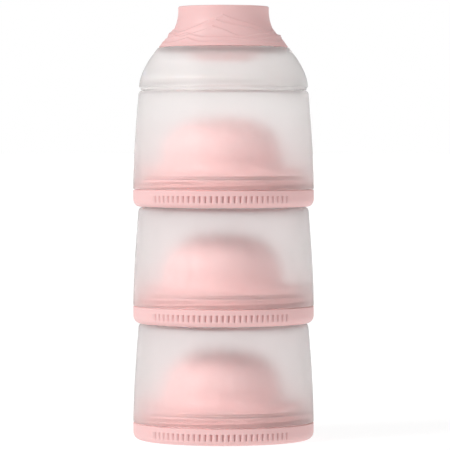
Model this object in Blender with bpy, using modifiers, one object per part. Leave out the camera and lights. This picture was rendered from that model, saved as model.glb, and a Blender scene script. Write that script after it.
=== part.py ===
"""Stacked formula dispenser: three screw-together powder cups, a pouring lid and a spout cap.

The stack stands on z = 0 with its axis on Z. Every cup unit has a pink base (rim, threaded
plug and dome floor) and a frosted compartment that screws onto it. The compartment's neck
takes the next unit's base or the pouring lid, so all of them share one neck thread.
Lengths are millimetres, turned into metres where the meshes are made.
"""
import math

import bmesh
import bpy
from mathutils import Matrix, Vector

# ---------------------------------------------------------------- driving dimensions
MM = 0.001
SEGMENTS = 30               # facets per turn
UNITS = ["lower", "middle", "upper"]

PITCH = 54.7                # height from one unit's underside to the next
GAP = 0.3                   # clearance between neighbouring pieces
WALL = 1.8                  # wall of the frosted pieces and of the dome

BODY_R = 42.5               # compartment's outer radius at its foot
BODY_DRAW = 2.45            # how far its wall leans in towards the top
BODY_POWER = 1.6            # how late it leans in: 1 is a cone
FOOT_WALL = 1.9             # compartment's wall round the plug
SHOULDER_FILLET = 2.0       # rounding between the wall and the shoulder

RIM_HEIGHT = 7.9            # pink rim below the compartment
RIM_WALL = 1.6              # rim's outer wall
RIM_EDGE = 0.25             # small rounding at the rim's top
RIM_CORNER_R = 2.85         # rim's rounded foot: how far in
RIM_CORNER_H = 3.6          # and how far up
POCKET_FLOOR = 2.2          # height of the floor of the slot between rim and collar

THREAD_LEAD = 4.7           # lift per turn
STARTS = 2
RIDGE = 0.9                 # thread ridge's thickness along the axis
RIDGE_DEPTH = 0.8           # how far a ridge stands out
RIDGE_ROOT = 0.5            # how far a ridge is sunk into its wall
PLUG_THREAD = 1.0           # plug thread's first ridge above the rim
PLUG_THREAD_END = 0.8       # and its last below the sealing land
LUG_FIRST = 1.2             # first and last height of the lugs above a moulding's lower edge
LUG_LAST = 3.4
NECK_PHASE = 0.9            # neck ridge straight along +X, above the next underside
NECK_FIRST = 0.75           # neck ridges' first and last height above the next underside
NECK_LAST = 3.85

PLUG_HEIGHT = 6.9           # dome floor above the rim
PLUG_STEP = 1.4             # how far the plug's inner wall comes in above the neck's bore
SEAL_GROOVE_H = 1.4         # groove for the base seal
SEAL_GROOVE_DEPTH = 1.3
SEAL_LIP = 0.5              # plug above the groove
LIP_CHAMFER = 0.3           # chamfer on its top edge
WASHER_PLAY = 0.2           # from the neck's bore to its washer
LAND_RUN = 4.2              # where the compartment's wall has its full width, above the floor

DOME_R = 27.6               # dome's half width
DOME_HEIGHT = 26.7          # its apex above the floor
DOME_POWER = 2.6            # fullness of its curve: 2 is an ellipse
DOME_FILLET = 6.0           # fillet onto the floor

SHOULDER_WIDTH = 6.3        # from the body's radius in to the neck's
NECK_H = 5.0                # neck above the shoulder
NECK_SEAL_T = 0.6           # washer over the neck
LEDGE = 1.5                 # thickness of the seat above a washer

FLUTES = 26                 # grip flutes in each group
FLUTE_ANGLE = 3.65          # degrees from one flute to the next
FLUTE_TURN = -2.1           # the group's middle, from straight ahead
FLUTE_MARGIN = 1.65         # from the rim's ends to the flutes
FLUTE_WIDE = 1.4            # flute's width at its upper end
FLUTE_NARROW = 0.7          # and at its lower end
FLUTE_DEPTH = 0.9

LID_SKIRT = 3.5             # how far the lid's widest part stands out from the neck
LID_BAND_STEP = 0.7         # plain band at the lid's foot: how far in
LID_BAND_H = 1.2            # and how high
LID_HEIGHT = 19.8           # dome's height above the lid's underside
LID_TOP_R = 30.7            # its radius at the cap
LID_POWER = 1.75            # fullness of the dome's curve

SPOUT_WALL = 1.6
SPOUT_PLAY = 0.5            # between the spout and the cap's wall
CAP_TOP_R = 21.3
CAP_TOP = 39.2              # cap's top above the lid's underside
CAP_WALL = 1.6
CAP_EDGE = 0.8              # rounding of the cap's top edge
CAP_FLARE = 2.2             # fullness of the flare between spout and dome
STOPPER_FLANGE = 1.6        # flange on the spout's rim
STOPPER_DEPTH = 24.2        # how far it reaches down the spout
STOPPER_ROUND = 7.0         # height of its rounded end
STOPPER_WALL = 1.5

# ---------------------------------------------------------------- sizes that follow
THREAD_PITCH = THREAD_LEAD / STARTS
NECK_R = BODY_R - SHOULDER_WIDTH                # neck's outer radius between the ridges
PLUG_TOP = RIM_HEIGHT + PLUG_HEIGHT             # dome floor's height
DOME_TOP = PLUG_TOP + DOME_HEIGHT
PLUG_PHASE = RIM_HEIGHT + PLUG_THREAD           # plug ridge straight along +X
PLUG_BORE = BODY_R - FOOT_WALL                  # compartment's bore round the plug
PLUG_R = PLUG_BORE - GAP - RIDGE_DEPTH - GAP    # plug between its ridges
LAND_R = PLUG_R + GAP                           # compartment's sealing land
LAND_LOW = PLUG_TOP - SEAL_LIP - SEAL_GROOVE_H - GAP / 3
COLLAR_R = NECK_R + RIDGE_DEPTH + GAP           # bore over the neck thread
NECK_BORE = NECK_R - WALL
SHOULDER = PITCH - GAP                          # compartment's shoulder
NECK_TOP = SHOULDER + NECK_H
SEAT = NECK_H + NECK_SEAL_T + GAP               # washer's seat above the next underside
FOOT = RIM_HEIGHT + GAP                         # compartment's lower edge
DOME_FOOT = PLUG_TOP + DOME_FILLET              # where the dome's sides are upright
PLUG_WALL_IN = NECK_BORE - PLUG_STEP            # plug's inner wall
LID_Z = len(UNITS) * PITCH
LID_R = NECK_R + LID_SKIRT
LID_BAND_R = LID_R - LID_BAND_STEP
SPOUT_R = CAP_TOP_R - CAP_WALL - SPOUT_PLAY
SPOUT_TOP = CAP_TOP - CAP_WALL - GAP - STOPPER_FLANGE - GAP

for old in list(bpy.data.objects):
    bpy.data.objects.remove(old, do_unlink=True)

parts = bpy.data.collections.new("formula_dispenser")
cutters = bpy.data.collections.new("cutters")
bpy.context.scene.collection.children.link(parts)
bpy.context.scene.collection.children.link(cutters)


def plastic(name, colour, roughness, alpha=1.0):
    """A Principled plastic with one colour."""
    material = bpy.data.materials.new(name)
    material.use_nodes = True
    shader = material.node_tree.nodes["Principled BSDF"]
    shader.inputs["Base Color"].default_value = (*colour, 1.0)
    shader.inputs["Roughness"].default_value = roughness
    shader.inputs["Metallic"].default_value = 0.0
    shader.inputs["Alpha"].default_value = alpha
    return material


PINK = plastic("pink_plastic", (0.80, 0.50, 0.49), 0.45)
FROSTED = plastic("frosted_plastic", (0.83, 0.80, 0.79), 0.6, 0.5)
SILICONE = plastic("silicone", (0.86, 0.84, 0.82), 0.5)


# ---------------------------------------------------------------- tools
def turned(name, profile, material, z=0.0, closed=True):
    """Turn a profile of (radius, height) points round Z.

    The points run down the outer side and back up the inner one. A closed profile is a loop
    clear of the axis; an open one starts and ends on the axis.
    """
    mesh = bpy.data.meshes.new(name)
    edges = [(i, i + 1) for i in range(len(profile) - 1)]
    if closed:
        edges.append((len(profile) - 1, 0))
    mesh.from_pydata([(r * MM, 0.0, h * MM) for r, h in profile], edges, [])
    piece = bpy.data.objects.new(name, mesh)
    piece.location.z = z * MM
    parts.objects.link(piece)
    mesh.materials.append(material)
    screw = piece.modifiers.new("turn", "SCREW")
    screw.steps = screw.render_steps = SEGMENTS
    screw.use_merge_vertices = True
    screw.merge_threshold = 0.00001
    screw.use_smooth_shade = True
    return piece


def joined(piece, tool, operation):
    """Boolean a tool mesh with a piece; the tool stays hidden in its own collection."""
    tool.location = piece.location
    tool.display_type = "WIRE"
    tool.hide_render = True
    cutters.objects.link(tool)
    boolean = piece.modifiers.new(tool.name, "BOOLEAN")
    boolean.operation = operation
    boolean.solver = "EXACT"
    boolean.object = tool


def ridges(name, r_wall, r_crest, z_first, z_last, z_phase):
    """Right-handed thread ridges, one for each start.

    A ridge's middle climbs THREAD_LEAD each turn from z_first to z_last. A thread whose
    z_phase is z has a ridge at height z straight along +X.
    """
    outward = 1 if r_crest > r_wall else -1
    turn = (z_last - z_first) / THREAD_LEAD
    steps = max(3, round(turn * SEGMENTS))
    bm = bmesh.new()
    for start in range(STARTS):
        angle = 2 * math.pi * ((z_first - z_phase) / THREAD_LEAD + start / STARTS)
        section = [
            (r_wall - outward * RIDGE_ROOT, RIDGE / 2),
            (r_crest, 0.0),
            (r_wall - outward * RIDGE_ROOT, -RIDGE / 2),
        ]
        spin = Matrix.Rotation(angle, 3, "Z")
        corners = [bm.verts.new(spin @ Vector((r * MM, 0, (z_first + h) * MM))) for r, h in section]
        loop = [bm.edges.new((corners[i], corners[(i + 1) % 3])) for i in range(3)]
        bmesh.ops.spin(
            bm, geom=corners + loop, cent=(0, 0, 0), axis=(0, 0, 1), angle=2 * math.pi * turn,
            steps=steps, dvec=(0, 0, THREAD_LEAD * turn / steps * MM),
        )
    bmesh.ops.holes_fill(bm, edges=[e for e in bm.edges if e.is_boundary], sides=3)
    bmesh.ops.recalc_face_normals(bm, faces=bm.faces)
    mesh = bpy.data.meshes.new(name)
    bm.to_mesh(mesh)
    bm.free()
    return bpy.data.objects.new(name, mesh)


def split(start, end, count):
    """Evenly spaced heights from start to end."""
    return [start + (end - start) * i / (count - 1) for i in range(count)]


def arc(centre, radius, start, end, count):
    """Points on a round corner, with angles in degrees from the radial direction."""
    angles = [math.radians(start + (end - start) * i / count) for i in range(count + 1)]
    return [(centre[0] + radius * math.cos(a), centre[1] + radius * math.sin(a)) for a in angles]


def dome(half_width, top, foot, count):
    """Superellipse from its apex on the axis down to where its side is upright."""
    power = 2 / DOME_POWER
    angles = [math.pi / 2 * (1 - i / count) for i in range(count + 1)]
    return [
        (half_width * math.cos(a) ** power if i else 0.0, foot + (top - foot) * math.sin(a) ** power)
        for i, a in enumerate(angles)
    ]


def body_radius(height):
    """Compartment's outer radius: upright at the foot, leaning in more towards the top."""
    span = SHOULDER - SHOULDER_FILLET - RIM_HEIGHT
    return BODY_R - BODY_DRAW * (max(height - RIM_HEIGHT, 0.0) / span) ** BODY_POWER


def lid_radius(height):
    """Pouring lid's outer radius between its band and the cap."""
    share = (height - LID_BAND_H) / (LID_HEIGHT - LID_BAND_H)
    return LID_R - (LID_R - LID_TOP_R) * share ** LID_POWER


def flare_radius(height):
    """Cap's outer radius: a flare that starts flush with the lid and ends upright."""
    share = (CAP_TOP - height) / (CAP_TOP - LID_HEIGHT)
    return CAP_TOP_R + (LID_TOP_R - CAP_TOP_R) * share ** CAP_FLARE


# ---------------------------------------------------------------- bases
def rim_radius(height):
    """Rim's outer radius, with its elliptical foot."""
    low = max(0.0, 1 - height / RIM_CORNER_H)
    return BODY_R - RIM_CORNER_R * (1 - math.sqrt(1 - low * low))


def flute_cutters(name):
    """Tapered grip flutes, one group at the front and one at the back."""
    bm = bmesh.new()
    low, high = FLUTE_MARGIN, RIM_HEIGHT - FLUTE_MARGIN
    for side in (0, 180):
        for i in range(FLUTES):
            turn = side + FLUTE_TURN + FLUTE_ANGLE * (i - (FLUTES - 1) / 2)
            cube = bmesh.ops.create_cube(bm, size=1.0)["verts"]
            for vert in cube:
                top = vert.co.z > 0
                height = high if top else low
                width = FLUTE_WIDE if top else FLUTE_NARROW
                depth = -FLUTE_DEPTH if vert.co.y > 0 else FLUTE_DEPTH
                vert.co = Vector((vert.co.x * width, -(rim_radius(height) + depth), height)) * MM
            bmesh.ops.rotate(bm, verts=cube, matrix=Matrix.Rotation(math.radians(turn), 3, "Z"))
    bmesh.ops.recalc_face_normals(bm, faces=bm.faces)
    mesh = bpy.data.meshes.new(name)
    bm.to_mesh(mesh)
    bm.free()
    return bpy.data.objects.new(name, mesh)


def base(unit, z):
    """Pink base: dome floor, plug with thread and seal groove, rim, and collar for the neck."""
    groove_top = PLUG_TOP - SEAL_LIP
    pocket_out = BODY_R - GAP - RIM_WALL
    fillet = (DOME_R + DOME_FILLET, DOME_FOOT)
    inner_foot = PLUG_TOP - WALL
    outside = dome(DOME_R, DOME_TOP, DOME_FOOT, 6)
    outside += arc(fillet, DOME_FILLET, 200, 270, 2)
    outside += [
        (PLUG_R - LIP_CHAMFER, PLUG_TOP),
        (PLUG_R, PLUG_TOP - LIP_CHAMFER),
        (PLUG_R, groove_top),
        (PLUG_R - SEAL_GROOVE_DEPTH, groove_top),
        (PLUG_R - SEAL_GROOVE_DEPTH, groove_top - SEAL_GROOVE_H),
        (PLUG_R, groove_top - SEAL_GROOVE_H),
        (PLUG_R, POCKET_FLOOR),
        (pocket_out, POCKET_FLOOR),
        (pocket_out, RIM_HEIGHT),
        (BODY_R - RIM_EDGE, RIM_HEIGHT),
        (BODY_R, RIM_HEIGHT - RIM_EDGE),
    ]
    corner_heights = [RIM_CORNER_H * share for share in (1, 0.45, 0.14, 0)]
    outside += [(rim_radius(height), height) for height in corner_heights]
    inside = [
        (COLLAR_R, 0.0),
        (COLLAR_R, SEAT),
        (NECK_BORE, SEAT),
        (PLUG_WALL_IN, inner_foot - LEDGE),
        (PLUG_WALL_IN - LEDGE, inner_foot),
        (DOME_R + GAP, inner_foot),
    ]
    inside += dome(DOME_R - WALL, DOME_TOP - WALL, DOME_FOOT, 4)[::-1]
    piece = turned(f"{unit}_base", outside + inside, PINK, z, closed=False)
    male = ridges(
        f"{unit}_plug_thread", PLUG_R, PLUG_R + RIDGE_DEPTH + GAP, PLUG_PHASE,
        LAND_LOW - PLUG_THREAD_END, PLUG_PHASE,
    )
    joined(piece, male, "UNION")
    female = ridges(
        f"{unit}_collar_thread", COLLAR_R, COLLAR_R - RIDGE_DEPTH, LUG_FIRST, LUG_LAST,
        NECK_PHASE + THREAD_PITCH / 2,
    )
    joined(piece, female, "UNION")
    joined(piece, flute_cutters(f"{unit}_flutes"), "DIFFERENCE")
    return piece


# ---------------------------------------------------------------- compartments
def compartment(unit, z):
    """Frosted cup wall: plug bore with thread lugs, sealing land, shoulder and threaded neck."""
    top = SHOULDER - SHOULDER_FILLET
    corner = (body_radius(top) - SHOULDER_FILLET, top)
    outside = [(NECK_BORE, NECK_TOP), (NECK_R, NECK_TOP), (NECK_R, SHOULDER)]
    outside += arc(corner, SHOULDER_FILLET, 90, 0, 3)
    outside += [(body_radius(h), h) for h in split(top, FOOT + RIM_EDGE, 5)[1:]]
    outside += [(BODY_R - RIM_EDGE, FOOT)]
    inside = [
        (PLUG_BORE, FOOT),
        (PLUG_BORE, LAND_LOW),
        (LAND_R, LAND_LOW),
        (LAND_R, PLUG_TOP + SEAL_LIP),
    ]
    inside += [(body_radius(h) - WALL, h) for h in split(PLUG_TOP + LAND_RUN, top - WALL, 4)]
    inside += [(NECK_BORE, SHOULDER - GAP)]
    piece = turned(f"{unit}_compartment", outside + inside, FROSTED, z)
    male = ridges(
        f"{unit}_neck_thread", NECK_R, NECK_R + RIDGE_DEPTH, PITCH + NECK_FIRST,
        PITCH + NECK_LAST, PITCH + NECK_PHASE,
    )
    joined(piece, male, "UNION")
    female = ridges(
        f"{unit}_foot_thread", PLUG_BORE, PLUG_BORE - RIDGE_DEPTH - GAP, FOOT + LUG_FIRST,
        FOOT + LUG_LAST, PLUG_PHASE + THREAD_PITCH / 2,
    )
    joined(piece, female, "UNION")
    return piece


# ---------------------------------------------------------------- seals
def ring(name, r_in, r_out, low, high, z):
    """Silicone ring of rectangular section."""
    turned(name, [(r_in, high), (r_out, high), (r_out, low), (r_in, low)], SILICONE, z)


def neck_washer(name, z):
    """Washer that lies on a neck, under the seat of a base or of the lid."""
    low = NECK_H
    ring(name, NECK_BORE + WASHER_PLAY, COLLAR_R - GAP, low, low + NECK_SEAL_T, z)


def base_seal(unit, z):
    """Ring in the plug's groove."""
    groove_low = PLUG_TOP - SEAL_LIP - SEAL_GROOVE_H
    r_in = PLUG_R - SEAL_GROOVE_DEPTH + GAP
    ring(f"{unit}_base_seal", r_in, PLUG_R, groove_low + GAP, groove_low + SEAL_GROOVE_H - GAP, z)


# ---------------------------------------------------------------- lid, cap and stopper
def under_cap(height):
    """Lid's outer radius under the cap, which it clears by GAP."""
    return max(SPOUT_R, flare_radius(height + GAP) - CAP_WALL - 2 * GAP)


def pouring_lid():
    """Frosted dome with a spout, on the same neck thread as the bases."""
    cap_foot = LID_HEIGHT
    outside = [(SPOUT_R - SPOUT_WALL, SPOUT_TOP), (SPOUT_R, SPOUT_TOP)]
    sweep = SPOUT_TOP - cap_foot
    outside += [(under_cap(h), h) for h in split(SPOUT_TOP - 0.1 * sweep, cap_foot, 7)]
    outside += [(lid_radius(h), h) for h in split(cap_foot, LID_BAND_H + 0.1 * LID_HEIGHT, 6)]
    outside += [(LID_R, LID_BAND_H), (LID_BAND_R, LID_BAND_H), (LID_BAND_R, 0.0)]
    shelf = [h for h in split(SEAT, cap_foot - WALL, 7) if lid_radius(h) - WALL < NECK_BORE]
    inside = [(COLLAR_R, 0.0), (COLLAR_R, SEAT), (NECK_BORE, SEAT), (NECK_BORE, shelf[0] - WALL)]
    inside += [(lid_radius(h) - WALL, h) for h in shelf[:-1]]
    rise = split(cap_foot, SPOUT_TOP - 0.3 * sweep, 5)
    inside += [(under_cap(h) - SPOUT_WALL, h - SPOUT_WALL) for h in rise]
    piece = turned("pouring_lid", outside + inside, FROSTED, LID_Z)
    female = ridges(
        "lid_thread", COLLAR_R, COLLAR_R - RIDGE_DEPTH, LUG_FIRST, LUG_LAST,
        NECK_PHASE + THREAD_PITCH / 2,
    )
    joined(piece, female, "UNION")


def cap():
    """Pink cap: a flared skirt that carries on the lid's line, with a flat round top."""
    foot = LID_HEIGHT + GAP
    heights = split(CAP_TOP - 2 * CAP_WALL, foot, 6)
    outside = [(0.0, CAP_TOP)]
    outside += arc((CAP_TOP_R - CAP_EDGE, CAP_TOP - CAP_EDGE), CAP_EDGE, 90, 0, 2)
    outside += [(flare_radius(h), h) for h in heights]
    inside = [(flare_radius(h) - CAP_WALL, h) for h in heights[::-1]]
    inside += [(CAP_TOP_R - CAP_WALL, CAP_TOP - CAP_WALL), (0.0, CAP_TOP - CAP_WALL)]
    turned("cap", outside + inside, PINK, LID_Z, closed=False)


def spout_stopper():
    """Soft cup that plugs the spout, with a flange over the spout's rim."""
    r_out = SPOUT_R - SPOUT_WALL - GAP
    top = CAP_TOP - CAP_WALL - GAP
    round_z = SPOUT_TOP + GAP - STOPPER_DEPTH + STOPPER_ROUND
    steps = 4
    angles = [math.pi / 2 * i / steps for i in range(steps)]

    def bowl(radius, depth):
        """Rounded end, from its upright side down to the axis."""
        points = [(radius * math.cos(a), round_z - depth * math.sin(a)) for a in angles]
        return points + [(0.0, round_z - depth)]

    inside = bowl(r_out - STOPPER_WALL, STOPPER_ROUND - STOPPER_WALL)[::-1]
    inside += [(r_out - STOPPER_WALL, top)]
    outside = [(SPOUT_R, top), (SPOUT_R, SPOUT_TOP + GAP), (r_out, SPOUT_TOP + GAP)]
    outside += bowl(r_out, STOPPER_ROUND)
    turned("spout_stopper", inside + outside, PINK, LID_Z, closed=False)


for index, unit in enumerate(UNITS):
    height = index * PITCH
    base(unit, height)
    base_seal(unit, height)
    neck_washer(f"{unit}_neck_seal", height)
    compartment(unit, height)
neck_washer("lid_seal", LID_Z)
pouring_lid()
cap()
spout_stopper()
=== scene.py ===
# %% [markdown]
# # A stacked formula dispenser
# Three frosted cups stand on each other, each on a pink base with a domed floor. A frosted
# pouring lid and a flared pink cap close the stack. Everything here is turned round one
# upright axis, so almost every piece is an outline carried round Z. What breaks the round
# shape is worked into the same surface: screw threads, grip flutes and the cap's ridges.

import math

import bpy
import numpy as np
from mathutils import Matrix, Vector


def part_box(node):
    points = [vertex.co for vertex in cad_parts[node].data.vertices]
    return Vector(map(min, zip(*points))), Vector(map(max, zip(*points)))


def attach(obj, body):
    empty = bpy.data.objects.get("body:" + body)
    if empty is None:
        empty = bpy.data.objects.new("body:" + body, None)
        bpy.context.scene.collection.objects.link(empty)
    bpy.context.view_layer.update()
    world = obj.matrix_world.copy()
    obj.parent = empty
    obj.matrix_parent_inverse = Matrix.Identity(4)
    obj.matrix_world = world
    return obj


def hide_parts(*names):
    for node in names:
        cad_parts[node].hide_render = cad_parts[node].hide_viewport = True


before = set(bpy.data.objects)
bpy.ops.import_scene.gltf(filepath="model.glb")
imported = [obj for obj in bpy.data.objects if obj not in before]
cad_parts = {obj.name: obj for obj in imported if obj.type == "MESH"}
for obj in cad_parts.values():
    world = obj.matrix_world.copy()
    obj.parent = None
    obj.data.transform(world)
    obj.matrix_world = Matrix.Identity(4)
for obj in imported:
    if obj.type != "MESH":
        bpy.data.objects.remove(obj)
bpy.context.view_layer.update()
scene = bpy.context.scene

# %% [markdown]
# ## Camera and light
# The dispenser is seen from a little above its middle and from far away, through a long
# lens, so its sides look almost parallel. One large soft lamp high on the left in front
# models the shapes; a pale world and a white floor fill the shadows. The camera, and rays
# that pass through the frosted walls, see a plain white backdrop behind it all.

# %% Camera
EYE_HEIGHT = 0.1406
EYE_DISTANCE = 1.518
VIEW_CENTRE = (0.0007, 0.0, 0.1006)
LENS_MM = 258.0

SENSOR_MM = 36.0

camera_data = bpy.data.cameras.new("camera")
camera_data.sensor_width = SENSOR_MM
camera_data.lens = LENS_MM
camera = bpy.data.objects.new("camera", camera_data)
scene.collection.objects.link(camera)
camera.location = (VIEW_CENTRE[0], -EYE_DISTANCE, EYE_HEIGHT)
camera.rotation_euler = (Vector(VIEW_CENTRE) - camera.location).to_track_quat("-Z", "Y").to_euler()
scene.camera = camera
scene.view_settings.view_transform = "Standard"


# %% Lamps and world
def soft_sun(name, azimuth, elevation, strength, spread):
    """A far lamp: azimuth in degrees to the left of straight ahead, spread is its angle."""
    lamp = bpy.data.lights.new(name, "SUN")
    lamp.energy = strength
    lamp.angle = math.radians(spread)
    holder = bpy.data.objects.new(name, lamp)
    a, e = math.radians(azimuth), math.radians(elevation)
    towards = Vector((-math.sin(a) * math.cos(e), -math.cos(a) * math.cos(e), math.sin(e)))
    holder.rotation_euler = towards.to_track_quat("Z", "Y").to_euler()
    scene.collection.objects.link(holder)


soft_sun("key_lamp", azimuth=58, elevation=36, strength=1.65, spread=24)

FILL_LEFT, FILL_RIGHT = 0.42, 0.56      # world's strength on either hand
FILL_COLOUR = (1.0, 0.985, 0.98, 1.0)
WHITE = (1.0, 1.0, 1.0, 1.0)

world = bpy.data.worlds.new("studio")
scene.world = world
world.use_nodes = True
nodes, links = world.node_tree.nodes, world.node_tree.links
backdrop = nodes["Background"]
backdrop.inputs["Color"].default_value = WHITE
backdrop.inputs["Strength"].default_value = 1.0
fill = nodes.new("ShaderNodeBackground")
fill.inputs["Color"].default_value = FILL_COLOUR
sky = nodes.new("ShaderNodeTexCoord")
sides = nodes.new("ShaderNodeSeparateXYZ")
links.new(sky.outputs["Generated"], sides.inputs["Vector"])
slope = nodes.new("ShaderNodeMapRange")
slope.inputs["From Min"].default_value = -1.0
slope.inputs["From Max"].default_value = 1.0
slope.inputs["To Min"].default_value = FILL_LEFT
slope.inputs["To Max"].default_value = FILL_RIGHT
links.new(sides.outputs["X"], slope.inputs["Value"])
links.new(slope.outputs["Result"], fill.inputs["Strength"])
seen = nodes.new("ShaderNodeLightPath")
either = nodes.new("ShaderNodeMath")
either.operation = "MAXIMUM"
links.new(seen.outputs["Is Camera Ray"], either.inputs[0])
links.new(seen.outputs["Is Transmission Ray"], either.inputs[1])
choose = nodes.new("ShaderNodeMixShader")
links.new(either.outputs["Value"], choose.inputs["Fac"])
links.new(fill.outputs["Background"], choose.inputs[1])
links.new(backdrop.outputs["Background"], choose.inputs[2])
links.new(choose.outputs["Shader"], nodes["World Output"].inputs["Surface"])

# %% [markdown]
# ## Sizes
# Heights and widths that the frame holds are read from it. The rest are the walls, threads
# and roundings of the mouldings, in millimetres.

# %% Sizes
MM = 0.001
UNITS = ("lower", "middle", "upper")


def size_of(node):
    """Lowest and highest corner of a CAD node, in millimetres."""
    low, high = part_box(node)
    return np.array(low) / MM, np.array(high) / MM


UNIT_Z = [size_of(f"{unit}_base")[0][2] for unit in UNITS]
LID_Z = size_of("pouring_lid")[0][2]
PITCH = LID_Z - UNIT_Z[-1]
BODY_R = size_of("lower_base")[1][0]
DOME_TOP = size_of("lower_base")[1][2]
SPOUT_TOP = size_of("pouring_lid")[1][2] - LID_Z
CAP_FOOT, CAP_TOP = (size_of("cap")[i][2] - LID_Z for i in (0, 1))
GAP = 0.3
WALL = 1.8

BODY_DRAW = 2.45        # how far a cup's wall leans in towards its top
SHOULDER_FILLET = 2.0
FOOT_WALL = 1.9
RIM_HEIGHT = 7.9
RIM_EDGE = 0.45
RIM_CORNER_R = 2.85
RIM_CORNER_H = 3.6
POCKET_FLOOR = 2.2

STARTS = 2
THREAD_PITCH = 2.35     # between neighbouring ridges
RIDGE = 0.9
RIDGE_DEPTH = 0.8
PLUG_PHASE = 8.9        # heights at which a ridge is straight along +X
NECK_PHASE = 0.9
PLUG_THREAD_TOP = 12.0  # last height of a plug's ridges
LUG_LOW = 1.2           # a lug's first height above its moulding's edge
LUG_TOP = 3.5           # and its last in a collar
FOOT_LUG_TOP = 3.4      # and in a cup's foot
NECK_LOW = 0.75         # first and last heights of a neck's ridges above the next underside
NECK_HIGH = 3.85
LUG_BORE_TOP = 4.2      # collar's height up to which the grid is fine

PLUG_TOP = 14.8
PLUG_WALL_IN = 33.0
GROOVE_H = 1.4
GROOVE_DEPTH = 1.3
LIP = 0.5
DOME_R = 27.6
DOME_POWER = 2.6
DOME_FILLET = 6.0

NECK_R = 36.2
NECK_H = 5.0
WASHER = 0.6

PLUG_BORE = BODY_R - FOOT_WALL
PLUG_R = PLUG_BORE - GAP - RIDGE_DEPTH - GAP
COLLAR_R = NECK_R + RIDGE_DEPTH + GAP
NECK_BORE = NECK_R - WALL
SHOULDER = PITCH - GAP
SEAT = NECK_H + WASHER + GAP
print(f"units at {UNIT_Z} mm, body radius {BODY_R:.2f} mm, pitch {PITCH:.2f} mm")

# %% [markdown]
# ## Turned surfaces
# A turned piece is a grid: rows follow its outline, columns go round the axis. With the
# whole grid in one array, a thread or a flute is a change of radius where it lies. The
# outline is written as corners with fillets, because that is how a mould is drawn.


# %% Outline helper
def outline(corners, loop=True):
    """Points along corners (radius, height, fillet, steps).

    A fillet is an arc that touches both runs at its corner. Steps divide the run after it.
    """
    spots = np.array([corner[:2] for corner in corners], float)
    count = len(spots)
    arcs = []
    for i, (r, z, fillet, _) in enumerate(corners):
        inner = loop or 0 < i < count - 1
        if not (fillet and inner):
            arcs.append(spots[i][None])
            continue
        back = spots[i - 1] - spots[i]
        ahead = spots[(i + 1) % count] - spots[i]
        back, ahead = back / np.linalg.norm(back), ahead / np.linalg.norm(ahead)
        half = math.acos(np.clip(back @ ahead, -1, 1)) / 2
        start = back * fillet / math.tan(half)
        end = ahead * fillet / math.tan(half)
        middle = (back + ahead) / np.linalg.norm(back + ahead) * fillet / math.sin(half)
        sweep = np.linspace(0, 1, 5)[:, None]
        chord = (start - middle) * (1 - sweep) + (end - middle) * sweep
        chord *= fillet / np.linalg.norm(chord, axis=1)[:, None]
        arcs.append(spots[i] + middle + chord)
    rows = []
    for i in range(count):
        rows.append(arcs[i])
        if i + 1 < count or loop:
            share = np.linspace(0, 1, corners[i][3] + 1)[1:-1, None]
            rows.append(arcs[i][-1] * (1 - share) + arcs[(i + 1) % count][0] * share)
    return np.concatenate(rows)


def run(radius, height):
    """Corners without fillets along a curve given as two arrays."""
    return [(r, z, 0, 1) for r, z in zip(radius, height)]


# %% Grid to mesh
def grid_mesh(name, radius, height, angle, loop=True):
    """A closed surface from (rows, columns) arrays of radius, height and angle.

    Point = (radius cos angle, radius sin angle, height). A loop joins its last row to its
    first; otherwise the first and last rows lie on the axis and become single points.
    """
    rows, columns = radius.shape
    points = np.stack([radius * np.cos(angle), radius * np.sin(angle), height], axis=-1)
    index = np.arange(rows * columns).reshape(rows, columns)
    if not loop:
        index = index - (columns - 1)
        index[0], index[-1] = 0, index[-2, -1] + 1
        points = np.concatenate([points[0, :1], points[1:-1].reshape(-1, 3), points[-1, :1]])
    points = points.reshape(-1, 3) * MM
    below = np.roll(index, -1, axis=0)
    if not loop:
        index, below = index[:-1], below[:-1]
    beside, corner = np.roll(index, -1, axis=1), np.roll(below, -1, axis=1)
    quads = np.stack([index, below, corner, beside], axis=-1)
    middle = quads if loop else quads[1:-1]
    faces = [middle.reshape(-1, 4)]
    if not loop:
        faces += [quads[0][:, :3], quads[-1][:, [0, 1, 3]]]
    mesh = bpy.data.meshes.new(name)
    sizes = np.concatenate([np.full(len(f), f.shape[1]) for f in faces])
    corners = np.concatenate([f.reshape(-1) for f in faces])
    mesh.vertices.add(len(points))
    mesh.vertices.foreach_set("co", points.reshape(-1).astype(np.float32))
    mesh.loops.add(len(corners))
    mesh.loops.foreach_set("vertex_index", corners.astype(np.int32))
    mesh.polygons.add(len(sizes))
    mesh.polygons.foreach_set("loop_start", (np.cumsum(sizes) - sizes).astype(np.int32))
    mesh.update(calc_edges=True)
    mesh.validate()
    mesh.shade_smooth()
    piece = bpy.data.objects.new(name, mesh)
    scene.collection.objects.link(piece)
    print(f"{name}: {len(points)} points, {int((sizes - 2).sum())} triangles")
    return piece


def spread(rows, angles):
    """Radius, height and angle grids of a plain outline carried round the angles."""
    radius = np.repeat(rows[:, :1], len(angles), axis=1)
    height = np.repeat(rows[:, 1:], len(angles), axis=1)
    return radius, height, np.repeat(angles[None], len(rows), axis=0)


def turns(count):
    """Evenly spaced angles round the axis."""
    return np.arange(count) * 2 * math.pi / count


def smooth(share):
    """Smooth step from 0 to 1."""
    share = np.clip(share, 0, 1)
    return share * share * (3 - 2 * share)


def finish_piece(piece, body, node, material):
    """Give a piece its material and say what it is to the frame."""
    piece.data.materials.append(material)
    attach(piece, body)
    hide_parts(node)


# %% [markdown]
# ## Screw threads
# The ridge lines climb with the angle: height = phase + pitch * starts * turn. The distance
# of a point from the nearest line gives the ridge's round section, and its line's height
# says where the ridge runs out.


# %% Thread relief
RUN_OUT = 0.25          # height over which a ridge starts and ends


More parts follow.
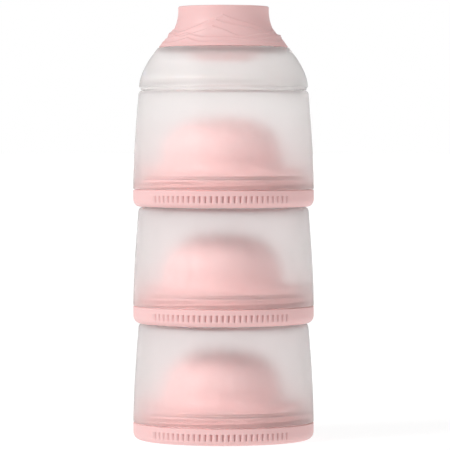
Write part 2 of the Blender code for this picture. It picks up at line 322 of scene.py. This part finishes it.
def thread(angle, height, first, last, phase):
    """Ridge relief from 0 to 1 for a right-handed thread between two heights."""
    line = (height - phase) / THREAD_PITCH - STARTS * angle / (2 * math.pi)
    away = (line - np.round(line)) * THREAD_PITCH
    crest = smooth((RIDGE / 2 - np.abs(away)) / (RIDGE / 3))
    middle = height - away
    run_in, run_out = (middle - first) / RUN_OUT + 1, (last - middle) / RUN_OUT + 1
    return crest * smooth(run_in) * smooth(run_out)


# %% [markdown]
# ## Plastics
# The pink parts are moulded polypropylene: satin, with a very fine grain, and a little light
# enters it. The clear parts are frosted: light passes, but scatters on the grained surface,
# so what lies behind is soft and milky. A Light Path switch lets lamps reach the inside.
# Each colour and roughness drifts a little with a noise, as it does in moulded plastic. The
# frosted colour also carries painted light: pink reflected from the bases, and shade under the
# base above each cup.


# %% Material helpers
def start_material(name):
    """A new material with its nodes, its links and its Principled shader."""
    material = bpy.data.materials.new(name)
    material.use_nodes = True
    tree = material.node_tree
    return material, tree.nodes, tree.links, tree.nodes["Principled BSDF"]


def noise(nodes, links, scale, detail):
    """Noise on Object coordinates; scale is in waves per metre."""
    place = nodes.new("ShaderNodeTexCoord")
    cloud = nodes.new("ShaderNodeTexNoise")
    cloud.inputs["Scale"].default_value = scale
    cloud.inputs["Detail"].default_value = detail
    links.new(place.outputs["Object"], cloud.inputs["Vector"])
    return cloud.outputs["Fac"]


def remap(nodes, links, value, low, high):
    """Stretch the middle of a noise to a range."""
    node = nodes.new("ShaderNodeMapRange")
    node.inputs["From Min"].default_value = 0.3
    node.inputs["From Max"].default_value = 0.7
    node.inputs["To Min"].default_value = low
    node.inputs["To Max"].default_value = high
    links.new(value, node.inputs["Value"])
    return node.outputs["Result"]


def tint(nodes, links, value, first, second):
    """Colour between two tints by a value."""
    node = nodes.new("ShaderNodeMix")
    node.data_type = "RGBA"
    node.inputs["A"].default_value = (*first, 1.0)
    node.inputs["B"].default_value = (*second, 1.0)
    links.new(value, node.inputs["Factor"])
    return node.outputs["Result"]


def grain(nodes, links, shader, scale, height, strength):
    """Fine moulded grain as bump; height is in metres."""
    bump = nodes.new("ShaderNodeBump")
    bump.inputs["Strength"].default_value = strength
    bump.inputs["Distance"].default_value = height
    links.new(noise(nodes, links, scale, 2.0), bump.inputs["Height"])
    links.new(bump.outputs["Normal"], shader.inputs["Normal"])


# %% Pink plastic
def pink_plastic():
    """Satin pink polypropylene."""
    material, nodes, links, shader = start_material("pink_polypropylene")
    cloud = remap(nodes, links, noise(nodes, links, 35.0, 3.0), 0.0, 1.0)
    colour = tint(nodes, links, cloud, (0.835, 0.525, 0.517), (0.855, 0.545, 0.537))
    links.new(colour, shader.inputs["Base Color"])
    sheen = remap(nodes, links, noise(nodes, links, 420.0, 4.0), 0.44, 0.52)
    links.new(sheen, shader.inputs["Roughness"])
    shader.inputs["IOR"].default_value = 1.49
    shader.inputs["Subsurface Weight"].default_value = 0.15
    shader.inputs["Subsurface Radius"].default_value = (1.0, 0.45, 0.4)
    shader.inputs["Subsurface Scale"].default_value = 0.0015
    grain(nodes, links, shader, 2600.0, 0.00003, 0.12)
    return material


PINK = pink_plastic()


# %% Frosted plastic
# height above a unit's foot in millimetres, and the colour painted there: painted pink reflection
# from the base below, and painted shade under the next base at the cup's top
PAINTED_PINK_AND_SHADE = (
    (9.0, (0.900, 0.800, 0.790)),
    (17.0, (0.905, 0.852, 0.846)),
    (32.0, (0.905, 0.880, 0.876)),
    (52.0, (0.890, 0.858, 0.856)),
)
# the ramp's last stop, near the lid: the plain frosted tint, with no painted pink or shade
TOP_HAZE = (0.925, 0.913, 0.908)
TOP_HAZE_DEPTH = 8.0        # depth below the lid's foot where it is reached
LEAST_MOTTLE = (0.985, 0.985, 0.985)
SHADOW_TINT = (0.80, 0.785, 0.78, 1.0)


def paint_pink_and_shade_by_height(nodes, links):
    """Painted light on the cups: a colour ramp on Object Z paints pink reflected from the base
    below and shade under the next base.
    """
    stops = [(z + h, colour) for z in UNIT_Z for h, colour in PAINTED_PINK_AND_SHADE[:-1]]
    stops += [(z + PAINTED_PINK_AND_SHADE[-1][0], PAINTED_PINK_AND_SHADE[-1][1]) for z in UNIT_Z[:-1]]
    stops.append((LID_Z - TOP_HAZE_DEPTH, TOP_HAZE))
    place = nodes.new("ShaderNodeTexCoord")
    axes = nodes.new("ShaderNodeSeparateXYZ")
    links.new(place.outputs["Object"], axes.inputs["Vector"])
    share = nodes.new("ShaderNodeMath")
    share.operation = "DIVIDE"
    share.inputs[1].default_value = LID_Z * MM
    links.new(axes.outputs["Z"], share.inputs[0])
    ramp = nodes.new("ShaderNodeValToRGB")
    ramp.color_ramp.interpolation = "EASE"
    while len(ramp.color_ramp.elements) < len(stops):
        ramp.color_ramp.elements.new(1.0)
    for element, (height, colour) in zip(ramp.color_ramp.elements, sorted(stops)):
        element.position = height / LID_Z
        element.color = (*colour, 1.0)
    links.new(share.outputs["Value"], ramp.inputs["Fac"])
    return ramp.outputs["Color"]


def frosted_plastic(name, transmission, rough_low, rough_high):
    """Milky, frosted polypropylene that shows what is behind it softly."""
    material, nodes, links, shader = start_material(name)
    cloud = remap(nodes, links, noise(nodes, links, 30.0, 2.0), 0.0, 1.0)
    mottle = nodes.new("ShaderNodeMix")
    mottle.data_type = "RGBA"
    mottle.blend_type = "MULTIPLY"
    mottle.inputs["Factor"].default_value = 1.0
    # painted pink reflection and painted shade by height, times a random mottle
    links.new(paint_pink_and_shade_by_height(nodes, links), mottle.inputs["A"])
    drift = tint(nodes, links, cloud, LEAST_MOTTLE, WHITE[:3])
    links.new(drift, mottle.inputs["B"])
    links.new(mottle.outputs["Result"], shader.inputs["Base Color"])
    frost = remap(nodes, links, noise(nodes, links, 700.0, 3.0), rough_low, rough_high)
    links.new(frost, shader.inputs["Roughness"])
    shader.inputs["IOR"].default_value = 1.25
    shader.inputs["Transmission Weight"].default_value = transmission
    shader.inputs["Specular IOR Level"].default_value = 0.12
    grain(nodes, links, shader, 3200.0, 0.00002, 0.1)
    path = nodes.new("ShaderNodeLightPath")
    through = nodes.new("ShaderNodeBsdfTransparent")
    through.inputs["Color"].default_value = SHADOW_TINT
    switch = nodes.new("ShaderNodeMixShader")
    links.new(path.outputs["Is Shadow Ray"], switch.inputs["Fac"])
    links.new(shader.outputs["BSDF"], switch.inputs[1])
    links.new(through.outputs["BSDF"], switch.inputs[2])
    links.new(switch.outputs["Shader"], nodes["Material Output"].inputs["Surface"])
    return material


FROSTED = frosted_plastic("frosted_polypropylene", 0.89, 0.42, 0.48)
LID_FROSTED = frosted_plastic("lid_polypropylene", 0.84, 0.42, 0.48)


# %% Silicone
def silicone(name, first, second):
    """Soft, matt seal rubber between two tints."""
    material, nodes, links, shader = start_material(name)
    cloud = remap(nodes, links, noise(nodes, links, 60.0, 2.0), 0.0, 1.0)
    colour = tint(nodes, links, cloud, first, second)
    links.new(colour, shader.inputs["Base Color"])
    matt = remap(nodes, links, noise(nodes, links, 500.0, 2.0), 0.45, 0.6)
    links.new(matt, shader.inputs["Roughness"])
    shader.inputs["Subsurface Weight"].default_value = 0.2
    shader.inputs["Subsurface Scale"].default_value = 0.001
    grain(nodes, links, shader, 2000.0, 0.00002, 0.1)
    return material


PINK_SILICONE = silicone("pink_silicone", (0.82, 0.52, 0.51), (0.85, 0.55, 0.54))
CLEAR_SILICONE = silicone("clear_silicone", (0.90, 0.875, 0.87), (0.93, 0.905, 0.90))

# %% [markdown]
# ## Grip flutes
# Each rim has a group of 26 short flutes in front and one behind. A flute is 1 mm wide at
# its flat upper end and less than half that below. The grid gets columns where the flutes'
# edges are, and they lean with the taper, so every flute has clean walls for few faces.

# %% Flute columns
FLUTES = 26
FLUTE_STEP = math.radians(3.65)
FLUTE_TURN = math.radians(-2.1)
FLUTE_LOW, FLUTE_TOP = 2.2, 5.4
FLUTE_RUN = 0.5             # height over which a flute's lower end comes out
BARE_COLUMNS = 30
FLUTE_DEPTH = 1.2
FLUTE_WIDE, FLUTE_NARROW = 1.0, 0.4
FLUTE_SIDES = np.array([-1.02, -0.9, 0.0, 0.9, 1.02])  # columns over a flute, in half widths
FLUTE_FORM = np.array([0.0, 0.95, 1.0, 0.95, 0.0, 0.0])  # their depths, and the land's

middles = (np.arange(FLUTES) - (FLUTES - 1) / 2) * FLUTE_STEP + FLUTE_TURN
group = [np.append(np.full(len(FLUTE_SIDES), m), m + FLUTE_STEP / 2) for m in middles]
group = np.concatenate(group)
lean = np.tile(np.append(FLUTE_SIDES, 0.0), FLUTES)
form = np.tile(FLUTE_FORM, FLUTES)
bare_from, bare_to = group[-1], group[0] + math.pi - FLUTE_STEP / 2
bare = np.linspace(bare_from, bare_to, BARE_COLUMNS)[1:-1]
half_angle = np.concatenate([group, bare])
half_lean = np.concatenate([lean, np.zeros(len(bare))])
half_form = np.concatenate([form, np.zeros(len(bare))])
COLUMN_ANGLE = np.concatenate([half_angle, half_angle + math.pi]) - math.pi / 2
COLUMN_LEAN = np.tile(half_lean, 2)
COLUMN_FORM = np.tile(half_form, 2)
print(len(COLUMN_ANGLE), "columns round a base")

# %% [markdown]
# ## The bases
# A base is one pink moulding: a domed floor that lets the powder run to the wall, a plug
# with a thread and a seal groove, the rim that the hand turns, and under it the collar that
# screws onto the cup below. Its outline starts at the dome's top and comes back under it.


# %% Base outline
LEDGE_IN = 1.5              # chamfer between the plug's inner wall and the floor's underside


def dome_curve(half_width, top, foot, count):
    """Superellipse from the axis down to upright: (r/a)^n + (z/b)^n = 1."""
    a = np.linspace(math.pi / 2, 0, count)
    bend = 2 / DOME_POWER
    radius = half_width * np.abs(np.cos(a)) ** bend
    radius[0] = 0.0
    return radius, foot + (top - foot) * np.sin(a) ** bend


def base_outline():
    """The base's outline as corners, from the dome's top to the hollow under it."""
    foot = PLUG_TOP + DOME_FILLET
    under = PLUG_TOP - WALL
    groove_top = PLUG_TOP - LIP
    groove_low = groove_top - GROOVE_H
    groove_in = PLUG_R - GROOVE_DEPTH
    pocket_out = PLUG_BORE
    corner = np.linspace(0, math.pi / 2, 13)
    foot_r = BODY_R - RIM_CORNER_R * (1 - np.cos(corner))
    foot_z = RIM_CORNER_H * (1 - np.sin(corner))
    return (
        run(*dome_curve(DOME_R, DOME_TOP, foot, 26))
        + [
            (DOME_R, PLUG_TOP, DOME_FILLET - 0.01, 4),
            (PLUG_R, PLUG_TOP, 0.25, 1),
            (PLUG_R, groove_top, 0.08, 2),
            (groove_in, groove_top, 0.1, 2),
            (groove_in, groove_low, 0.1, 2),
            (PLUG_R, groove_low, 0.08, 30),
            (PLUG_R, PLUG_PHASE - 0.6, 0, 3),
            (PLUG_R, POCKET_FLOOR, 0.3, 2),
            (pocket_out, POCKET_FLOOR, 0.3, 3),
            (pocket_out, RIM_HEIGHT, 0.15, 2),
            (BODY_R, RIM_HEIGHT, RIM_EDGE, 3),
            (BODY_R, FLUTE_TOP + 0.2, 0, 1),
            (BODY_R, FLUTE_TOP + 0.05, 0, 1),
            (BODY_R, FLUTE_TOP - 0.1, 0, 6),
        ]
        + run(foot_r, foot_z)[:-1]
        + [
            (foot_r[-1], 0.0, 0, 3),
            (COLLAR_R, 0.0, 0.3, 26),
            (COLLAR_R, LUG_BORE_TOP, 0, 2),
            (COLLAR_R, SEAT, 0.2, 3),
            (NECK_BORE, SEAT, 0.4, 4),
            (PLUG_WALL_IN, under - LEDGE_IN, 0.8, 1),
            (PLUG_WALL_IN - LEDGE_IN, under, 0.8, 3),
            (DOME_R + GAP, under, 1.5, 3),
        ]
        + run(*(part[::-1] for part in dome_curve(DOME_R - WALL, DOME_TOP - WALL, foot, 18)))
    )


def make_base(unit, z):
    """One base with its plug thread, collar thread and flutes."""
    rows = outline(base_outline(), loop=False)
    radius, height, angle = spread(rows, COLUMN_ANGLE)
    outer = np.arange(len(rows)) < np.argmin(rows[:, 1])
    plug = (outer & (np.abs(rows[:, 0] - PLUG_R) < 0.01))[:, None]
    ridge = thread(angle, height, PLUG_PHASE, PLUG_THREAD_TOP, PLUG_PHASE)
    radius += plug * (RIDGE_DEPTH + GAP) * ridge
    collar = (~outer & (np.abs(rows[:, 0] - COLLAR_R) < 0.01))[:, None]
    lug = thread(angle, height, LUG_LOW, LUG_TOP, NECK_PHASE + THREAD_PITCH / 2)
    radius -= collar * RIDGE_DEPTH * lug
    rim = (outer & (rows[:, 0] > PLUG_BORE + 0.3))[:, None]
    share = np.clip((height - FLUTE_LOW) / (FLUTE_TOP - FLUTE_LOW), 0, 1)
    half_width = (FLUTE_NARROW + (FLUTE_WIDE - FLUTE_NARROW) * share) / 2
    angle += COLUMN_LEAN * half_width / BODY_R
    deep = smooth((height - FLUTE_LOW) / FLUTE_RUN) * (height < FLUTE_TOP + 0.01)
    radius -= rim * deep * FLUTE_DEPTH * COLUMN_FORM
    piece = grid_mesh(f"{unit}_base_moulding", radius, height + z, angle, loop=False)
    finish_piece(piece, f"{unit}_base", f"{unit}_base", PINK)


for unit, z in zip(UNITS, UNIT_Z):
    make_base(unit, z)

# %% [markdown]
# ## The compartments
# A cup is a frosted sleeve that leans in a little towards its shoulder. Its foot screws over
# the plug and its neck into the next base. Both walls are modelled, because the frosted look
# comes from light bending twice, once on each grained face.


# %% Compartment
BODY_POWER = 1.6


def body_radius(height):
    """Outer radius: upright at the foot, leaning in as height to the power 1.6."""
    span = SHOULDER - SHOULDER_FILLET - RIM_HEIGHT
    return BODY_R - BODY_DRAW * (np.maximum(height - RIM_HEIGHT, 0) / span) ** BODY_POWER


def compartment_outline():
    """Neck, shoulder, wall, foot and back up inside."""
    foot = RIM_HEIGHT + GAP
    top = SHOULDER - SHOULDER_FILLET
    land = PLUG_R + GAP
    land_low = PLUG_TOP - LIP - GROOVE_H - GAP / 3
    neck_top = SHOULDER + NECK_H
    down = np.linspace(top, foot + 2.0, 15)
    up = np.linspace(19.0, top - 1.0, 13)
    wall_top = body_radius(top)
    return (
        [
            (NECK_BORE, neck_top, 0.5, 2),
            (NECK_R, neck_top, 0.5, 2),
            (NECK_R, neck_top - 0.9, 0, 24),
            (NECK_R, SHOULDER + 0.4, 0, 1),
            (NECK_R, SHOULDER, 0.15, 4),
            (wall_top - 0.05, SHOULDER, SHOULDER_FILLET - 0.1, 1),
        ]
        + run(body_radius(down), down)
        + [
            (BODY_R, foot, 0.3, 2),
            (PLUG_BORE, foot, 0.3, 28),
            (PLUG_BORE, land_low, 0.1, 2),
            (land, land_low, 0.2, 2),
            (land, PLUG_TOP + 0.7, 0.6, 3),
        ]
        + run(body_radius(up) - WALL, up)
        + [(wall_top - WALL - 0.3, SHOULDER - 1.4, 1.0, 4), (NECK_BORE, SHOULDER - 0.6, 0.8, 3)]
    )


def make_compartment(unit, z):
    """One frosted cup with its neck thread and foot thread."""
    rows = outline(compartment_outline())
    radius, height, angle = spread(rows, turns(256))
    neck = (np.abs(rows[:, 0] - NECK_R) < 0.01)[:, None]
    low, high = PITCH + NECK_LOW, PITCH + NECK_HIGH
    radius += neck * RIDGE_DEPTH * thread(angle, height, low, high, PITCH + NECK_PHASE)
    bore = ((np.abs(rows[:, 0] - PLUG_BORE) < 0.01) & (rows[:, 1] < PLUG_TOP))[:, None]
    foot = RIM_HEIGHT + GAP
    phase = PLUG_PHASE + THREAD_PITCH / 2
    lug = thread(angle, height, foot + LUG_LOW, foot + FOOT_LUG_TOP, phase)
    radius -= bore * (RIDGE_DEPTH + GAP) * lug
    piece = grid_mesh(f"{unit}_cup", radius, height + z, angle)
    finish_piece(piece, f"{unit}_compartment", f"{unit}_compartment", FROSTED)


for unit, z in zip(UNITS, UNIT_Z):
    make_compartment(unit, z)

# %% [markdown]
# ## The pouring lid
# The lid is a frosted dome. A plain band marks its foot, and under the cap the wall sweeps
# up into the spout. A power curve gives the dome's shoulder and another the sweep.

# %% Lid and cap lines
LID_BAND_R = 39.0
LID_BAND_H = 1.2
LID_R = 39.7
LID_HEIGHT = CAP_FOOT - GAP
LID_TOP_R = 30.7
LID_POWER = 1.75
SPOUT_R = 19.2
SPOUT_WALL = 1.6
CAP_TOP_R = 21.3
CAP_WALL = 1.6
CAP_FLARE = 2.2
INNER_LEDGE = 10.5          # height of the corner over the lid's seat


def lid_radius(height):
    """Dome: radius falls as (share of height) to the power 1.75."""
    share = np.clip((height - LID_BAND_H) / (LID_HEIGHT - LID_BAND_H), 0, 1)
    return LID_R - (LID_R - LID_TOP_R) * share ** LID_POWER


def flare_radius(height):
    """Cap: radius grows downwards as (share of depth) to the power 2.2."""
    share = np.clip((CAP_TOP - height) / (CAP_TOP - LID_HEIGHT), 0, 1)
    return CAP_TOP_R + (LID_TOP_R - CAP_TOP_R) * share ** CAP_FLARE


def under_cap(height):
    """Lid's sweep under the cap."""
    return np.maximum(SPOUT_R, flare_radius(height + GAP) - CAP_WALL - 2 * GAP)


# %% Pouring lid
def lid_outline():
    """Spout, sweep, dome, band, skirt and back up inside."""
    sweep = np.linspace(SPOUT_TOP - 2.5, LID_HEIGHT + 0.4, 18)
    dome = np.linspace(LID_HEIGHT - 0.4, LID_BAND_H + 0.9, 24)
    inner_dome = np.linspace(12.5, LID_HEIGHT - 3.5, 8)
    inner_sweep = np.linspace(LID_HEIGHT + 1.0, SPOUT_TOP - 6.0, 12)
    return (
        [(SPOUT_R - SPOUT_WALL, SPOUT_TOP, 0.5, 1), (SPOUT_R, SPOUT_TOP, 0.5, 2)]
        + run(under_cap(sweep), sweep)
        + [(under_cap(LID_HEIGHT), LID_HEIGHT, 0.2, 2), (LID_TOP_R, LID_HEIGHT, 0.25, 1)]
        + run(lid_radius(dome), dome)
        + [
            (LID_R, LID_BAND_H, 0.3, 1),
            (LID_BAND_R, LID_BAND_H, 0.15, 1),
            (LID_BAND_R, 0.0, 0.2, 2),
            (COLLAR_R, 0.0, 0.3, 26),
            (COLLAR_R, LUG_BORE_TOP, 0, 2),
            (COLLAR_R, SEAT, 0.2, 3),
            (NECK_BORE, SEAT, 0.3, 2),
            (NECK_BORE, INNER_LEDGE, 1.0, 1),
        ]
        + run(lid_radius(inner_dome) - WALL, inner_dome)
        + [(under_cap(LID_HEIGHT) - SPOUT_WALL, LID_HEIGHT - SPOUT_WALL, 1.5, 1)]
        + run(under_cap(inner_sweep) - SPOUT_WALL, inner_sweep - 1.0)
        + [(SPOUT_R - SPOUT_WALL, SPOUT_TOP - 4.0, 0, 2)]
    )


rows = outline(lid_outline())
radius, height, angle = spread(rows, turns(288))
skirt = (np.abs(rows[:, 0] - COLLAR_R) < 0.01)[:, None]
lug = thread(angle, height, LUG_LOW, LUG_TOP, NECK_PHASE + THREAD_PITCH / 2)
lid = grid_mesh("lid_dome", radius - skirt * RIDGE_DEPTH * lug, height + LID_Z, angle)
finish_piece(lid, "pouring_lid", "pouring_lid", LID_FROSTED)

# %% [markdown]
# ## The cap
# The cap carries on the lid's line and ends upright with a flat top. Its lower part has
# ranges of hills in low relief, one behind the other. Each range is a skyline worked out
# from a few waves round the axis. The surface steps out there to a lip, which sinks back
# below it to a part of the step.

# %% Hill relief
# each range: mean height, wave height, number of waves round, phase, relief
RANGES = (
    (30.9, 5.2, 2, 0.02, 0.62),
    (29.2, 4.1, 2, 0.16, 0.58),
    (27.2, 2.9, 4, 0.45, 0.58),
    (25.0, 2.2, 3, 1.1, 0.55),
    (22.9, 1.2, 6, 2.0, 0.50),
)
FACE = -math.pi / 2
LEDGE = 0.6         # height over which a range steps out
LIP_FADE = 1.6      # depth over which the lip on its edge sinks back
KEPT = 0.35         # share of the step that stays below the lip
RELIEF = KEPT * sum(hills[-1] for hills in RANGES)


def skyline(angle, mean, wave, count, phase):
    """Height of a range: a peaked main wave with two smaller ones on it."""
    around = (angle - FACE) * count / 2 + phase
    peak = 1 - 2 * np.abs(np.sin(around)) ** 0.8
    return mean + wave * (0.72 * peak + 0.18 * np.sin(3.1 * around) + 0.1 * np.cos(5.3 * around))


def hill_relief(angle, height):
    """How far the surface stands out, in millimetres, about the plain flare."""
    relief = -RELIEF * np.clip((CAP_TOP - height) / (CAP_TOP - CAP_FOOT), 0, 1)
    for mean, wave, count, phase, proud in RANGES:
        below = skyline(angle, mean, wave, count, phase) - height
        lip = np.exp(-np.maximum(below - LEDGE / 2, 0) / LIP_FADE)
        relief += proud * smooth(below / LEDGE + 0.5) * (KEPT + (1 - KEPT) * lip)
    return relief


# %% Cap
CAP_EDGE = 0.8
CAP_FOOT_WIDTH = 1.5


def cap_outline():
    """Top, edge, flare, foot and back up inside."""
    foot_r = flare_radius(CAP_FOOT)
    down = np.linspace(CAP_TOP - 2.0, CAP_FOOT + 0.3, 80)
    up = np.linspace(CAP_FOOT + 0.5, CAP_TOP - 4.0, 14)
    return (
        [(0.0, CAP_TOP, 0, 6), (CAP_TOP_R, CAP_TOP, CAP_EDGE, 2)]
        + run(flare_radius(down), down)
        + [(foot_r, CAP_FOOT, 0.15, 1), (foot_r - CAP_FOOT_WIDTH, CAP_FOOT, 0.2, 1)]
        + run(flare_radius(up) - CAP_WALL, up)
        + [(CAP_TOP_R - CAP_WALL, CAP_TOP - CAP_WALL, 0.6, 5), (0.0, CAP_TOP - CAP_WALL, 0, 1)]
    )


rows = outline(cap_outline(), loop=False)
radius, height, angle = spread(rows, turns(480))
outer = (np.arange(len(rows)) < np.argmin(rows[:, 1]))[:, None] & (height < CAP_TOP - 1.0)
radius += outer * hill_relief(angle, height)
cap = grid_mesh("cap_shell", radius, height + LID_Z, angle, loop=False)
finish_piece(cap, "cap", "cap", PINK)

# %% [markdown]
# ## Stopper and seals
# Inside the cap a soft cup closes the spout. It shows through the frosted lid as a faint
# rounded shadow. The seals are plain silicone rings with rounded corners.


# %% Stopper
BOWL = 0.7          # power that fills out the rounded end: 1 is an ellipse
BOWL_DEPTH = 7.0
STOPPER_WALL = 1.5


def stopper_outline():
    """A bowl with a flange on the spout's rim, from its inside to its outside."""
    r_out = SPOUT_R - SPOUT_WALL - GAP
    r_in = r_out - STOPPER_WALL
    top = CAP_TOP - CAP_WALL - GAP
    low = size_of("spout_stopper")[0][2] - LID_Z
    level = low + BOWL_DEPTH
    a = np.linspace(math.pi / 2, 0, 14)
    across, down = np.append(0.0, np.cos(a[1:]) ** BOWL), np.sin(a) ** BOWL
    inner = run(r_in * across, level - (BOWL_DEPTH - STOPPER_WALL) * down)
    outer = run(r_out * across[::-1], level - BOWL_DEPTH * down[::-1])
    rim = [
        (r_in, top, 0.4, 1),
        (SPOUT_R, top, 0.4, 1),
        (SPOUT_R, SPOUT_TOP + GAP, 0.4, 1),
        (r_out, SPOUT_TOP + GAP, 0.2, 2),
    ]
    return inner + rim + outer


rows = outline(stopper_outline(), loop=False)
stopper = grid_mesh("stopper_cup", *spread(rows + [[0.0, LID_Z]], turns(160)), loop=False)
finish_piece(stopper, "cap", "spout_stopper", PINK)


# %% Seals
WASHER_PLAY = 0.2       # from the neck's bore to its washer
SEAL_ROUNDING = 0.3     # share of a seal's thickness


def make_seal(node, body):
    """A ring with rounded corners in the space of its CAD node."""
    low, high = size_of(node)
    washer_width = COLLAR_R - GAP - NECK_BORE - WASHER_PLAY
    width = GROOVE_DEPTH - GAP if "base_seal" in node else washer_width
    r_out = high[0]
    r_in = r_out - width
    edge = (high[2] - low[2]) * SEAL_ROUNDING
    rows = outline([
        (r_in, high[2], edge, 2),
        (r_out, high[2], edge, 1),
        (r_out, low[2], edge, 2),
        (r_in, low[2], edge, 1),
    ])
    piece = grid_mesh(f"{node}_ring", *spread(rows, turns(192)))
    rubber = PINK_SILICONE if "base_seal" in node else CLEAR_SILICONE
    finish_piece(piece, body, node, rubber)


for unit in UNITS:
    make_seal(f"{unit}_base_seal", f"{unit}_base_seal")
    make_seal(f"{unit}_neck_seal", "lower_base" if unit == "lower" else f"{unit}_neck_seal")
make_seal("lid_seal", "lid_seal")

# %% [markdown]
# ## Floor
# A plain pale floor, a little luminous like a light table, so it stays white right up to
# the horizon and keeps only a faint shadow.

# %% Floor
FLOOR_SIZE = 60.0           # metres
FLOOR_GREY = (0.22, 0.22, 0.22, 1.0)
FLOOR_GLOW = 0.84
bpy.ops.mesh.primitive_grid_add(x_subdivisions=4, y_subdivisions=4, size=FLOOR_SIZE)
floor = bpy.context.object
floor.name = "studio_floor"
floor_material, nodes, links, shader = start_material("pale_floor")
shader.inputs["Base Color"].default_value = FLOOR_GREY
shader.inputs["Roughness"].default_value = 0.9
shader.inputs["Emission Color"].default_value = WHITE
shader.inputs["Emission Strength"].default_value = FLOOR_GLOW
floor.data.materials.append(floor_material)
